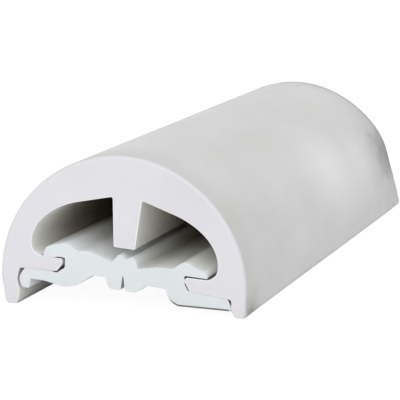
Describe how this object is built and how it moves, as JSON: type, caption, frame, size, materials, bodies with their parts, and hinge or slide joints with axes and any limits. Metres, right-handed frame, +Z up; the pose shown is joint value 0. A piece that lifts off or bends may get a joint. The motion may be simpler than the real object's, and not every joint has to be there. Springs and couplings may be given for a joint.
{
  "type": "edge protection profile",
  "caption": "D-shaped flexible fender profile with a centre rib, slid onto a hooked rigid rail, cut as a straight length to guard a dock or hull edge.",
  "frame": {"origin": "on the floor, under the middle of the width and of the length", "axes": "+Y along the length, +Z up through the crown, +X to the side with the shorter lip"},
  "size_m": [0.07, 0.162, 0.0419],
  "materials": {
    "flexible_vinyl": "satin warm white, matte on the sawn ends",
    "rigid_vinyl": "smooth satin, slightly bluish white"
  },
  "bodies": {
    "root": {"cover_profile": "flexible_vinyl", "support_profile": "rigid_vinyl"}
  },
  "joints": []
}
